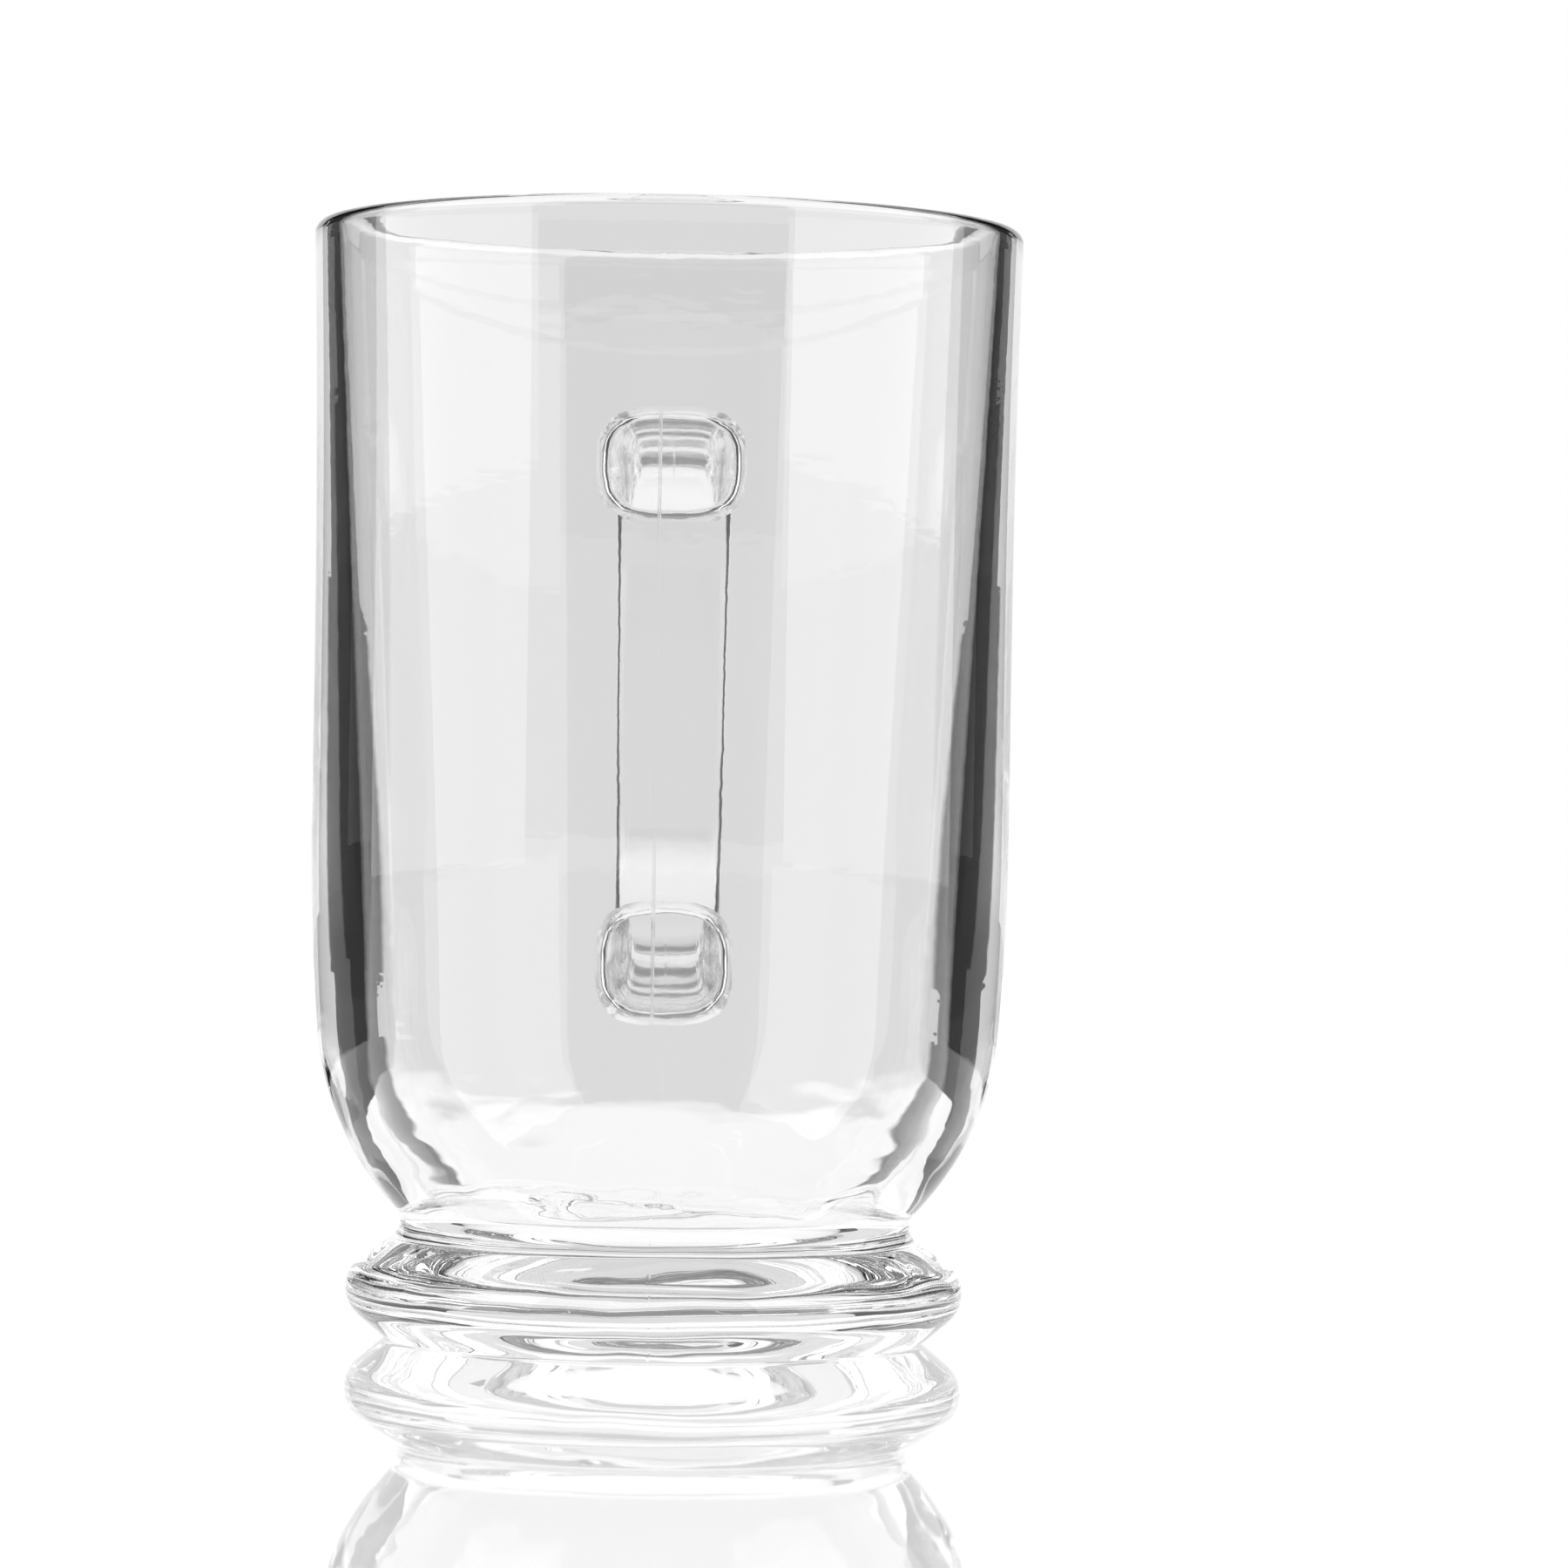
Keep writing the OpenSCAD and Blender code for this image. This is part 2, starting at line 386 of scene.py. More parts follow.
# %% [markdown]
# ## Table as the camera sees it
# The camera sees white paint under a gloss. The paint is lit by the softboxes and keeps the mug's soft
# shadow, and a glow for the camera's own rays lifts it to white. The gloss follows the Fresnel law, so it
# mirrors most at a low angle. It ends at some distance, so that the far table doesn't mirror the cards
# and the room.

# %% Table
TABLE_RADIUS = 3.0
TABLE_SEGMENTS = 96
PAINT_GLOW = 0.9
PAINT = (0.4, 0.4, 0.4, 1)
GLOSS_ROUGHNESS = 0.02
GLOSS_IOR = 1.5
SHINE_NEAR = 0.3
SHINE_FAR = 0.7


def painted(nodes, links, light_path):
    """Matt paint that also glows for the camera."""
    strength = calculated(nodes, links, "MULTIPLY", light_path.outputs["Is Camera Ray"], PAINT_GLOW)
    paint = nodes.new("ShaderNodeBsdfDiffuse")
    paint.inputs["Color"].default_value = PAINT
    both = nodes.new("ShaderNodeAddShader")
    links.new(glowing(nodes, links, strength), both.inputs[0])
    links.new(paint.outputs["BSDF"], both.inputs[1])
    return both.outputs["Shader"]


def table_for_camera(nodes, links, light_path):
    gloss = nodes.new("ShaderNodeBsdfGlossy")
    gloss.inputs["Color"].default_value = WHITE
    gloss.inputs["Roughness"].default_value = GLOSS_ROUGHNESS
    fresnel = nodes.new("ShaderNodeFresnel")
    fresnel.inputs["IOR"].default_value = GLOSS_IOR
    distance = from_axis(nodes, links)[1]
    shine = ranged(nodes, links, distance, (SHINE_NEAR, SHINE_FAR), (fresnel.outputs["Fac"], 0.0))
    return mixed(nodes, links, shine, painted(nodes, links, light_path), gloss.outputs["BSDF"])


def table_material():
    material, nodes, links = new_material("white_gloss_floor")
    light_path = nodes.new("ShaderNodeLightPath")
    mirrored = light_path.outputs["Is Glossy Ray"]
    in_glass = calculated(nodes, links, "MAXIMUM", mirrored, light_path.outputs["Is Transmission Ray"])
    plain = table_for_camera(nodes, links, light_path)
    set_surface(nodes, links, mixed(nodes, links, in_glass, plain, table_in_glass(nodes, links, light_path)))
    return material


def make_table():
    bm = bmesh.new()
    bmesh.ops.create_circle(bm, cap_ends=True, segments=TABLE_SEGMENTS, radius=TABLE_RADIUS)
    mesh = bpy.data.meshes.new("floor")
    bm.to_mesh(mesh)
    bm.free()
    table = bpy.data.objects.new("floor", mesh)
    table.data.materials.append(table_material())
    scene.collection.objects.link(table)
    return table


table = make_table()

# %% [markdown]
# ## Clear glass
# Soda-lime glass bends light by an index of about 1.52. One Principled shader with full transmission
# gives both the bending and the mirror on its surface, and a slight grey tint stands for what the thick
# walls take up.
#
# Pressed glass isn't flat. It cools against the mould and keeps low waves, large on the thick foot and
# faint on the side. They could be modelled, but such low waves need a very fine mesh. A Bump node tilts
# the surface instead, with a height in metres from two noises on Object coordinates: slow waves and a
# finer ripple. The noises are stretched sideways, so that the waves run round the mug more than up it.
#
# The flame that polishes the lip hardly reaches the handle, so its surface is a little rougher than the
# bowl's.

# %% Glass
GLASS_IOR = 1.52
GLASS_TINT = (0.972, 0.972, 0.972, 1)
NOISE_DETAIL = 1.5
WAVE_SCALE = 110.0
RIPPLE_SCALE = 600.0
WAVE_STRETCH = 0.4
WAVE_LOW = 14 * MM
WAVE_HIGH = 40 * MM
BOWL_WAVE = 0.015 * MM
FOOT_WAVE = 0.8 * MM
BOWL_RIPPLE = 0.005 * MM
FOOT_RIPPLE = 0.008 * MM
HANDLE_WAVE = 0.1 * MM
HANDLE_ROUGHNESS = 0.1


def glass_waves(nodes, links, low_wave, high_wave):
    """Normal of the wavy surface, from one height of wave low on the mug to another higher up."""
    place = nodes.new("ShaderNodeTexCoord").outputs["Object"]
    stretch = nodes.new("ShaderNodeMapping")
    stretch.inputs["Scale"].default_value = (WAVE_STRETCH, WAVE_STRETCH, 1)
    links.new(place, stretch.inputs["Vector"])
    split = nodes.new("ShaderNodeSeparateXYZ")
    links.new(place, split.inputs[0])
    heights = []
    for scale, ends in ((WAVE_SCALE, (low_wave, high_wave)), (RIPPLE_SCALE, (FOOT_RIPPLE, BOWL_RIPPLE))):
        noise = nodes.new("ShaderNodeTexNoise")
        noise.inputs["Scale"].default_value = scale
        noise.inputs["Detail"].default_value = NOISE_DETAIL
        links.new(stretch.outputs["Vector"], noise.inputs["Vector"])
        size = ranged(nodes, links, split.outputs["Z"], (WAVE_LOW, WAVE_HIGH), ends)
        heights.append(calculated(nodes, links, "MULTIPLY", noise.outputs["Fac"], size))
    bump = nodes.new("ShaderNodeBump")
    bump.inputs["Strength"].default_value = 1.0
    bump.inputs["Distance"].default_value = 1.0
    links.new(calculated(nodes, links, "ADD", *heights), bump.inputs["Height"])
    return bump.outputs["Normal"]


def clear_glass(name, low_wave, high_wave, roughness=0.0):
    material, nodes, links = new_material(name)
    glass = nodes.new("ShaderNodeBsdfPrincipled")
    links.new(glass_waves(nodes, links, low_wave, high_wave), glass.inputs["Normal"])
    glass.inputs["Base Color"].default_value = GLASS_TINT
    glass.inputs["Roughness"].default_value = roughness
    glass.inputs["IOR"].default_value = GLASS_IOR
    glass.inputs["Transmission Weight"].default_value = 1.0
    set_surface(nodes, links, glass.outputs["BSDF"])
    return material


glass_material = clear_glass("clear_glass", FOOT_WAVE, BOWL_WAVE)
handle_material = clear_glass("clear_glass_handle", HANDLE_WAVE, HANDLE_WAVE, HANDLE_ROUGHNESS)
print("glass:", glass_material.name, handle_material.name)

# %% [markdown]
# ## Fused joint
# The real mug is one piece of glass, so no face shows where the foot or the handle meets the bowl. Here
# they are three pieces, and each is closed. The faces where two of them touch get a fully transparent
# material, which light passes without bending, as it does inside solid glass.

# %% Fused joint
GLASS_SLOT = 0
JOINT_SLOT = 1


def fused_joint():
    material, nodes, links = new_material("fused_joint")
    set_surface(nodes, links, nodes.new("ShaderNodeBsdfTransparent").outputs["BSDF"])
    return material


joint_material = fused_joint()
print("joint:", joint_material.name)

# %% [markdown]
# ## Outline of the bowl
# The bowl is a turned form, so half of its section says everything. The section is made of arcs that run
# into each other without a corner: the lip, a long slight flare, the straight side, an ease, the heel and
# the waist. The inside is a sloping wall, a large round and a level floor, and its shape matters as much
# as the outside, because the thickness of the glass decides how wide the dark bands are.
#
# The CAD mesh could be dressed as it is, but its triangles are too coarse for glass: every flat facet
# shows as a step in what is seen through it. The same outline is drawn again here with the same sizes and
# finer steps. The height of the mug and the width of its foot are read from the frame.

# %% Sizes of the bowl
MUG_H = cad_high.z
BODY_R = 39.4 * MM
LIP_FLARE = 0.65 * MM
FLARE_H = 44 * MM
LIP_R = 1.4 * MM
BORE_DRAFT = math.radians(2.75)
FLOOR_Z = 8.2 * MM
FLOOR_R = 28 * MM
EASE_R = 300 * MM
EASE_A = math.radians(4.5)
HEEL_R = 33 * MM
WAIST_R = 2.4 * MM
WAIST_HALF = 28.85 * MM
WAIST_Z = 13.2 * MM

flare_a = 2 * math.atan(LIP_FLARE / FLARE_H)
flare_r = FLARE_H / math.sin(flare_a)
flare_top_z = MUG_H - LIP_R * (1 + math.sin(flare_a))
flare_centre = Vector((BODY_R + flare_r, flare_top_z - FLARE_H))
lip_centre = Vector((BODY_R + LIP_FLARE - LIP_R * math.cos(flare_a), MUG_H - LIP_R))
heel_x = BODY_R - EASE_R + (EASE_R - HEEL_R) * math.cos(EASE_A)
waist_x = WAIST_HALF + WAIST_R
heel_z = WAIST_Z + math.sqrt((HEEL_R + WAIST_R) ** 2 - (waist_x - heel_x) ** 2)
heel_a = math.atan2(heel_z - WAIST_Z, waist_x - heel_x)
ease_centre = Vector((BODY_R - EASE_R, heel_z + (EASE_R - HEEL_R) * math.sin(EASE_A)))
heel_centre = Vector((heel_x, heel_z))
waist_centre = Vector((waist_x, WAIST_Z))
bore_top = lip_centre + LIP_R * Vector((-math.cos(BORE_DRAFT), math.sin(BORE_DRAFT)))
floor_round_z = FLOOR_Z + FLOOR_R
floor_drop = bore_top.y - floor_round_z
floor_round_x = bore_top.x - (FLOOR_R + floor_drop * math.sin(BORE_DRAFT)) / math.cos(BORE_DRAFT)
floor_centre = Vector((floor_round_x, floor_round_z))
print("flat of the inside floor in mm:", round(floor_round_x / MM, 2))

# %% [markdown]
# ## Seat between bowl and foot
# The bowl's bottom is round and sits in the dished top of the foot. Both outlines use the same arc, point
# for point, so the two pieces share their faces exactly and no sliver of air is left between them.

# %% Arcs, lines and the seat
DISH_Z = 5.7 * MM
DISH_STEPS = 20

dish_h = WAIST_Z - DISH_Z
dish_r = (WAIST_HALF ** 2 + dish_h ** 2) / (2 * dish_h)
dish_centre = Vector((0, DISH_Z + dish_r))
dish_a = math.asin(WAIST_HALF / dish_r)


def arc(centre, radius, start, stop, steps):
    points = []
    for i in range(steps + 1):
        a = start + (stop - start) * i / steps
        points.append(centre + radius * Vector((math.cos(a), math.sin(a))))
    return points


def line(start, stop, steps):
    """Points between two others, without the two."""
    return [start.lerp(stop, i / steps) for i in range(1, steps)]


def dish_outline():
    """From the axis out to the waist."""
    return arc(dish_centre, dish_r, -math.pi / 2, -math.pi / 2 + dish_a, DISH_STEPS)


print("radius of the dish in mm:", round(dish_r / MM, 2))

# %% Outline of the bowl
FLOOR_STEPS = 12
FLOOR_ROUND_STEPS = 28
WALL_STEPS = 50
LIP_STEPS = 24
FLARE_STEPS = 20
SIDE_STEPS = 12
EASE_STEPS = 12
HEEL_STEPS = 30
WAIST_STEPS = 24


def bowl_outline():
    """From the middle of the inside up to the lip, down the outside to the waist and back along the seat."""
    middle = Vector((0, FLOOR_Z))
    inside = [middle] + line(middle, Vector((floor_round_x, FLOOR_Z)), FLOOR_STEPS)
    inside += arc(floor_centre, FLOOR_R, -math.pi / 2, -BORE_DRAFT, FLOOR_ROUND_STEPS)
    inside += line(inside[-1], bore_top, WALL_STEPS)
    lip = arc(lip_centre, LIP_R, math.pi - BORE_DRAFT, -flare_a, LIP_STEPS)
    side = arc(flare_centre, flare_r, math.pi - flare_a, math.pi, FLARE_STEPS)[1:]
    ease = arc(ease_centre, EASE_R, 0, -EASE_A, EASE_STEPS)
    side += line(side[-1], ease[0], SIDE_STEPS)
    heel = arc(heel_centre, HEEL_R, -EASE_A, -heel_a, HEEL_STEPS)[1:]
    waist = arc(waist_centre, WAIST_R, math.pi - heel_a, math.pi, WAIST_STEPS)[1:]
    return inside + lip + side + ease + heel + waist + dish_outline()[::-1][1:]


print("points in the bowl's outline:", len(bowl_outline()))

# %% [markdown]
# ## Outline of the foot
# The foot leaves the waist on a slope that is tangent to the waist and to the rounded edge. Under the
# edge it draws in to a small toe and a narrow flat ring, which is all that touches the table. Inside the
# ring it is hollowed, so that the mug doesn't rock.

# %% Outline of the foot
FOOT_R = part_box("foot")[1].x
EDGE_R = 4 * MM
EDGE_Z = 5.7 * MM
UNDER_A = math.radians(50)
TOE_R = 1.5 * MM
RING_W = 2.2 * MM
HOLLOW_H = 2.0 * MM
SLOPE_STEPS = 6
EDGE_STEPS = 24
UNDER_STEPS = 6
TOE_STEPS = 8
RING_STEPS = 4
HOLLOW_STEPS = 30

edge_centre = Vector((FOOT_R - EDGE_R, EDGE_Z))
edge_to_waist = waist_centre - edge_centre
slope_a = (math.atan2(edge_to_waist.y, edge_to_waist.x)
           - math.acos((EDGE_R + WAIST_R) / edge_to_waist.length))
edge_end = edge_centre + EDGE_R * Vector((math.cos(UNDER_A), -math.sin(UNDER_A)))
toe_x = edge_end.x + ((TOE_R - edge_end.y) * math.sin(UNDER_A) - TOE_R) / math.cos(UNDER_A)
ring_in = toe_x - RING_W
hollow_r = (ring_in ** 2 + HOLLOW_H ** 2) / (2 * HOLLOW_H)
hollow_a = math.asin(ring_in / hollow_r)
hollow_centre = Vector((0, HOLLOW_H - hollow_r))


def foot_outline():
    """From the middle of the seat out to the waist, round the edge and back under the foot to the axis."""
    waist = arc(waist_centre, WAIST_R, math.pi, math.pi + slope_a, WAIST_STEPS)
    edge = arc(edge_centre, EDGE_R, slope_a, -UNDER_A, EDGE_STEPS)
    toe = arc(Vector((toe_x, TOE_R)), TOE_R, -UNDER_A, -math.pi / 2, TOE_STEPS)
    hollow = arc(hollow_centre, hollow_r, math.pi / 2 - hollow_a, math.pi / 2, HOLLOW_STEPS)
    slope = line(waist[-1], edge[0], SLOPE_STEPS)
    under = line(edge[-1], toe[0], UNDER_STEPS)
    ring = line(toe[-1], hollow[0], RING_STEPS)
    return dish_outline()[:-1] + waist + slope + edge + under + toe + ring + hollow


print("points in the foot's outline:", len(foot_outline()))

# %% [markdown]
# ## Turning the outlines
# A Screw modifier would turn an outline in even steps. The mould seam needs steps of its own, much finer
# than the rest, so the outline is spun twice: through a narrow sector at the seam and then through the
# rest of a quarter turn. Mirroring the quarter twice closes the form and puts a seam on the side of the
# handle and one opposite.

# %% Turn an outline into a piece
SEAM_HALF_A = math.radians(1.0)
SEAM_STEPS = 14
BODY_STEPS = 75
MERGE_DISTANCE = 1e-7


def turned(outline):
    bm = bmesh.new()
    verts = [bm.verts.new((p.x, 0, p.y)) for p in outline]
    edges = [bm.edges.new(pair) for pair in zip(verts, verts[1:])]
    last = verts + edges
    for sector, steps in ((SEAM_HALF_A, SEAM_STEPS), (math.pi / 2 - SEAM_HALF_A, BODY_STEPS)):
        made = bmesh.ops.spin(bm, geom=last, cent=(0, 0, 0), axis=(0, 0, 1), angle=sector, steps=steps,
                              use_merge=False)
        last = made["geom_last"]
    for axis in ("X", "Y"):
        everything = bm.verts[:] + bm.edges[:] + bm.faces[:]
        bmesh.ops.mirror(bm, geom=everything, merge_dist=MERGE_DISTANCE, axis=axis)
    bmesh.ops.remove_doubles(bm, verts=bm.verts, dist=MERGE_DISTANCE)
    return bm


def finished(name, bm, materials):
    bmesh.ops.recalc_face_normals(bm, faces=bm.faces)
    for face in bm.faces:
        face.smooth = True
    mesh = bpy.data.meshes.new(name)
    bm.to_mesh(mesh)
    bm.free()
    piece = bpy.data.objects.new(name, mesh)
    for material in materials:
        piece.data.materials.append(material)
    scene.collection.objects.link(piece)
    return piece


bowl_bm = turned(bowl_outline())
foot_bm = turned(foot_outline())
print("turned faces:", len(bowl_bm.faces), len(foot_bm.faces))

# %% [markdown]
# ## Mould seam
# A press mould opens in two halves and leaves a fine raised line where they met. It runs up the outside
# in the plane of the handle, and the fire polish melts it away at the lip. A separate strip would leave
# an inner face that the light could catch on, so the vertices within the seam's width are raised instead,
# by a smooth hump of hundredths of a millimetre.

# %% Raise the mould seam
SEAM_HEIGHT = 0.03 * MM
SEAM_HALF_W = 0.22 * MM
SEAM_OFF_WAIST = 0.01 * MM
SIDE_TOLERANCE = 0.02 * MM
SEAM_BOTTOM = 0.5 * MM


def outer_radius(z):
    """Radius of the bowl's outside at a height between the waist and the lip."""
    if z > flare_centre.y:
        return flare_centre.x - math.sqrt(flare_r ** 2 - (z - flare_centre.y) ** 2)
    if z > ease_centre.y:
        return BODY_R
    if z > ease_centre.y - EASE_R * math.sin(EASE_A):
        return ease_centre.x + math.sqrt(EASE_R ** 2 - (z - ease_centre.y) ** 2)
    if z > heel_z - HEEL_R * math.sin(heel_a):
        return heel_x + math.sqrt(HEEL_R ** 2 - (z - heel_z) ** 2)
    return waist_x - math.sqrt(WAIST_R ** 2 - (z - WAIST_Z) ** 2)


def on_bowl_side(place):
    if place.z <= WAIST_Z + SEAM_OFF_WAIST or place.z > flare_top_z:
        return False
    return place.xy.length > outer_radius(place.z) - SIDE_TOLERANCE


def on_foot_side(place):
    return place.z > SEAM_BOTTOM and place.xy.length > WAIST_HALF + SEAM_OFF_WAIST


def seam_rise(across):
    return SEAM_HEIGHT * math.cos(math.pi * across / (2 * SEAM_HALF_W)) ** 2


def raise_seam(bm, on_side):
    raised = 0
    for v in bm.verts:
        if abs(v.co.y) < SEAM_HALF_W and on_side(v.co):
            v.co.x += math.copysign(seam_rise(v.co.y), v.co.x)
            raised += 1
    return raised


bowl_seam = raise_seam(bowl_bm, on_bowl_side)
foot_seam = raise_seam(foot_bm, on_foot_side)
print("seam vertices:", bowl_seam, foot_seam)

# %% [markdown]
# ## Bowl and foot
# The faces of the seat get the joint material on both pieces. The edge round the seat is marked sharp, or
# smooth shading would run round it from the outside of the glass into the joint and bend the light there.

# %% Finish the bowl and the foot
SAME_PLACE = 1e-6


def mark_joint(bm):
    centre = Vector((0, 0, dish_centre.y))
    for face in bm.faces:
        low = all(v.co.z < WAIST_Z + SAME_PLACE for v in face.verts)
        if low and all(abs((v.co - centre).length - dish_r) < SAME_PLACE for v in face.verts):
            face.material_index = JOINT_SLOT
    for edge in bm.edges:
        if len({face.material_index for face in edge.link_faces}) > 1:
            edge.smooth = False


mark_joint(bowl_bm)
bowl = finished("glass_bowl", bowl_bm, (glass_material, joint_material))
mark_joint(foot_bm)
foot = finished("glass_foot", foot_bm, (glass_material, joint_material))
print("bowl faces:", len(bowl.data.polygons), "foot faces:", len(foot.data.polygons))

# %% [markdown]
# ## Path of the handle
# The handle is one bar of glass that leaves the bowl, bends down, runs along the grip, bends back and
# meets the bowl again. A place on it is given by the distance gone along the bar, so that sizes can
# change evenly from root to root. Each stretch gives a point in the plane of the handle and the heading
# of the bar there.

# %% Path of the handle
UPPER_Z = 99.6 * MM
LOWER_Z = 41.6 * MM
REACH = 36.6 * MM
GRIP_T = 9.5 * MM
BEND_R = 13 * MM

grip_x = BODY_R + REACH - GRIP_T / 2
arm_end_x = grip_x - BEND_R
arm_l = arm_end_x - BODY_R
bend_l = math.pi / 2 * BEND_R
grip_l = UPPER_Z - LOWER_Z - 2 * BEND_R
path_l = 2 * arm_l + 2 * bend_l + grip_l


def path_at(s):
    if s <= arm_l:
        return Vector((BODY_R + s, UPPER_Z)), 0.0
    s -= arm_l
    if s <= bend_l:
        a = s / BEND_R
        return Vector((arm_end_x + BEND_R * math.sin(a), UPPER_Z - BEND_R + BEND_R * math.cos(a))), -a
    s -= bend_l
    if s <= grip_l:
        return Vector((grip_x, UPPER_Z - BEND_R - s)), -math.pi / 2
    s -= grip_l
    if s <= bend_l:
        a = s / BEND_R
        place = Vector((arm_end_x + BEND_R * math.cos(a), LOWER_Z + BEND_R - BEND_R * math.sin(a)))
        return place, -math.pi / 2 - a
    s -= bend_l
    return Vector((arm_end_x - s, LOWER_Z)), -math.pi


print("length of the handle's path in mm:", round(path_l / MM, 1))

# %% [markdown]
# ## Section of the handle
# The bar is a rounded oblong: fairly round at the roots and squarer at the grip. A superellipse gives
# both with one power, which rises towards the grip. The mould seam runs along the middle of its inner and
# outer faces, so a few extra points go there.

# %% Section of the handle
UPPER_W = 16.2 * MM
UPPER_T = 11.5 * MM
LOWER_W = 15.4 * MM
LOWER_T = 10.2 * MM
GRIP_W = 15.6 * MM
SQUARENESS = 3.0
GRIP_SQUARENESS = 7.0
SECTION_STEPS = 24
SEAM_POINTS = 4
SEAM_CLEAR = 1.2


def size_at(s, upper, grip, lower):
    """Size at a distance along the bar: upper root, grip or lower root, with an even change between them."""
    half = path_l / 2
    end = upper if s < half else lower
    t = min(max((s if s < half else path_l - s) / half, 0.0), 1.0)
    return end + (grip - end) * (t * t * (3 - 2 * t))


def section(half_w, half_t, power):
    """Points round the bar, as places across it and out from its middle."""
    quarter = []
    for i in range(SECTION_STEPS + 1):
        a = math.pi / 2 * i / SECTION_STEPS
        quarter.append(half_w * math.cos(a) ** (2 / power))
    quarter = [across for across in quarter if across > SEAM_HALF_W * SEAM_CLEAR]
    quarter += [SEAM_HALF_W * (1 - i / SEAM_POINTS) for i in range(SEAM_POINTS + 1)]
    points = []
    for across in quarter:
        out = half_t * max(1 - (across / half_w) ** power, 0) ** (1 / power)
        if across < SEAM_HALF_W:
            out += seam_rise(across)
        points.append((across, out))
    top = points + [(-across, out) for across, out in points[-2::-1]]
    return top + [(across, -out) for across, out in top[-2:0:-1]]


print("points round the grip:", len(section(GRIP_W / 2, GRIP_T / 2, GRIP_SQUARENESS)))

# %% [markdown]
# ## Rings of the handle
# A curve with a bevel could sweep one section along the path, but this section changes on its way. So the
# handle is a row of rings. Near a root the rings lie on the bowl's round side and widen into a small
# fillet, and the first of them sits just inside the glass, so that the two pieces can be cut along one
# clean line.

# %% Rings of the handle
ROOT_FILLET = 1.8 * MM
ROOT_START_A = math.radians(20)
ROOT_SINK = 0.3 * MM
ROOT_CLEAR = 1.5 * MM
FILLET_RINGS = 8
ARM_RINGS = 14
BEND_RINGS = 24
GRIP_RINGS = 14

arm_start = ROOT_FILLET + ROOT_CLEAR


def ring_points(s, root=None):
    """Ring at a distance along the bar. A root lays it off the bowl's side by a gap and grows it."""
    place, heading = path_at(s)
    half_w = size_at(s, UPPER_W, GRIP_W, LOWER_W) / 2
    half_t = size_at(s, UPPER_T, GRIP_T, LOWER_T) / 2
    power = size_at(s, SQUARENESS, GRIP_SQUARENESS, SQUARENESS)
    gap, grow = root if root else (0.0, 0.0)
    points = []
    for across, out in section(half_w + grow, half_t + grow, power):
        x = place.x - out * math.sin(heading)
        z = place.y + out * math.cos(heading)
        if root:
            x = math.sqrt(outer_radius(z) ** 2 - across ** 2) + gap
        points.append(Vector((x, across, z)))
    return points


def root_fillet():
    """Gap and growth of each ring of the fillet, from inside the glass outwards."""
    roots = []
    for i in range(FILLET_RINGS + 1):
        a = ROOT_START_A + (math.pi / 2 - ROOT_START_A) * i / FILLET_RINGS
        roots.append((ROOT_FILLET * (1 - math.cos(a)), ROOT_FILLET * (1 - math.sin(a))))
    first_gap, first_grow = roots[0]
    sunk_grow = first_grow + (first_gap + ROOT_SINK) / math.tan(ROOT_START_A)
    return [(-ROOT_SINK, sunk_grow)] + roots


def handle_rings():
    roots = root_fillet()
    grip_start = arm_l + bend_l
    grip_end = grip_start + grip_l
    arm_free = arm_l - arm_start
    places = [arm_start + arm_free * i / ARM_RINGS for i in range(ARM_RINGS)]
    places += [arm_l + bend_l * i / BEND_RINGS for i in range(BEND_RINGS)]
    places += [grip_start + grip_l * i / GRIP_RINGS for i in range(GRIP_RINGS)]
    places += [grip_end + bend_l * i / BEND_RINGS for i in range(BEND_RINGS)]
    places += [path_l - arm_l + arm_free * i / ARM_RINGS for i in range(ARM_RINGS + 1)]
    rings = [ring_points(0.0, root) for root in roots]
    rings += [ring_points(s) for s in places]
    return rings + [ring_points(path_l, root) for root in reversed(roots)]


def make_handle():
    bm = bmesh.new()
    rings = handle_rings()
    verts = [bm.verts.new(p) for p in rings[0]]
    edges = [bm.edges.new((a, b)) for a, b in zip(verts, verts[1:] + verts[:1])]
    bm.faces.new(list(reversed(verts)))
    for ring in rings[1:]:
        made = bmesh.ops.extrude_edge_only(bm, edges=edges)["geom"]
        edges = [g for g in made if isinstance(g, bmesh.types.BMEdge)]
        new_verts = [g for g in made if isinstance(g, bmesh.types.BMVert)]
        for v, p in zip(new_verts, ring):
            v.co = p
    bmesh.ops.holes_fill(bm, edges=edges, sides=0)
    return bm


handle = finished("glass_handle", make_handle(), (handle_material, joint_material))
print("handle faces:", len(handle.data.polygons))

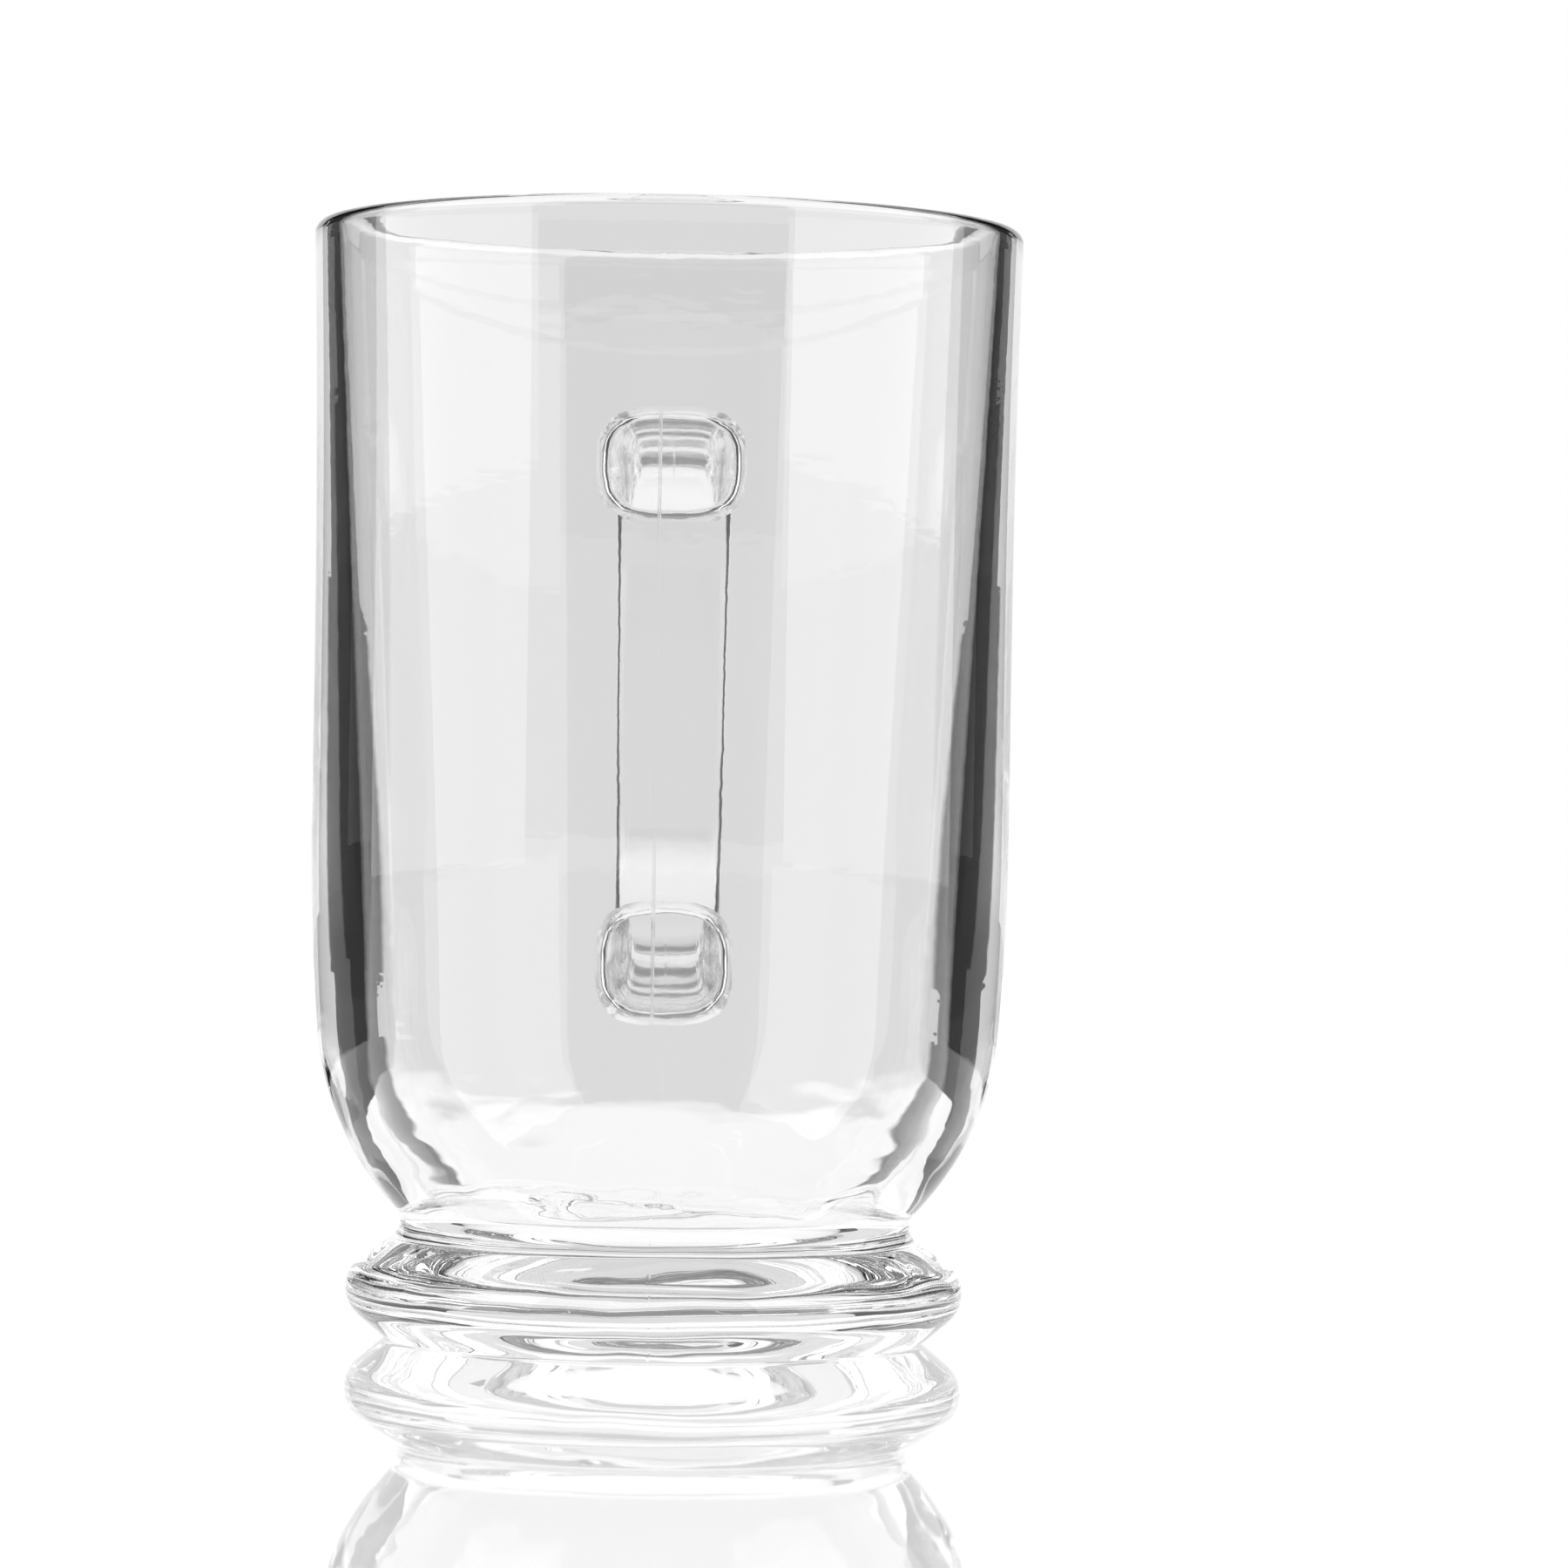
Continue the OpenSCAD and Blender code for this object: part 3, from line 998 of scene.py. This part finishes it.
# %% [markdown]
# ## Fusing the handle
# On the real mug the root flows into the bowl. The two meshes have to meet along exactly the same line,
# or a thin gap of air shows as a bright ring. A Boolean union cuts both along that line. A third material
# slot tells afterwards which faces came from the handle. Each side is then kept in turn, and its open
# root is closed with joint faces.

# %% Fuse the handle to the bowl
HANDLE_SLOT = 2


def fuse(body, arm):
    arm.data.materials.append(handle_material)
    body.data.materials.append(handle_material)
    for face in arm.data.polygons:
        face.material_index = HANDLE_SLOT
    union = body.modifiers.new("union", "BOOLEAN")
    union.operation = "UNION"
    union.solver = "EXACT"
    union.object = arm
    bpy.context.view_layer.update()
    graph = bpy.context.evaluated_depsgraph_get()
    bm = bmesh.new()
    bm.from_object(body, graph)
    body.modifiers.remove(union)
    return bm


def keep_side(fused, keep_handle):
    bm = fused.copy()
    drop = [f for f in bm.faces if (f.material_index == HANDLE_SLOT) != keep_handle]
    bmesh.ops.delete(bm, geom=drop, context="FACES")
    loops = [e for e in bm.edges if e.is_boundary]
    made = bmesh.ops.holes_fill(bm, edges=loops, sides=0)
    for f in bm.faces:
        if f.material_index == HANDLE_SLOT:
            f.material_index = GLASS_SLOT
    for f in made["faces"]:
        f.material_index = JOINT_SLOT
    bmesh.ops.triangulate(bm, faces=made["faces"])
    for e in loops:
        e.smooth = False
    return bm


def replace_mesh(piece, bm):
    bmesh.ops.recalc_face_normals(bm, faces=bm.faces)
    bm.to_mesh(piece.data)
    bm.free()
    piece.data.materials.pop(index=HANDLE_SLOT)


fused = fuse(bowl, handle)
print("fused faces:", len(fused.faces), "open edges:", sum(not e.is_manifold for e in fused.edges))
replace_mesh(bowl, keep_side(fused, False))
replace_mesh(handle, keep_side(fused, True))
fused.free()
for piece in (bowl, handle):
    print(piece.name, len(piece.data.polygons), [m.name for m in piece.data.materials])

# %% [markdown]
# ## Place in the frame
# Each glass piece rides on the mug's one body and stands in for the CAD node of the same part, which is
# hidden.

# %% Ride, replace and finish
for piece, node in ((bowl, "bowl"), (foot, "foot"), (handle, "handle")):
    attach(piece, "root")
    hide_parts(node)
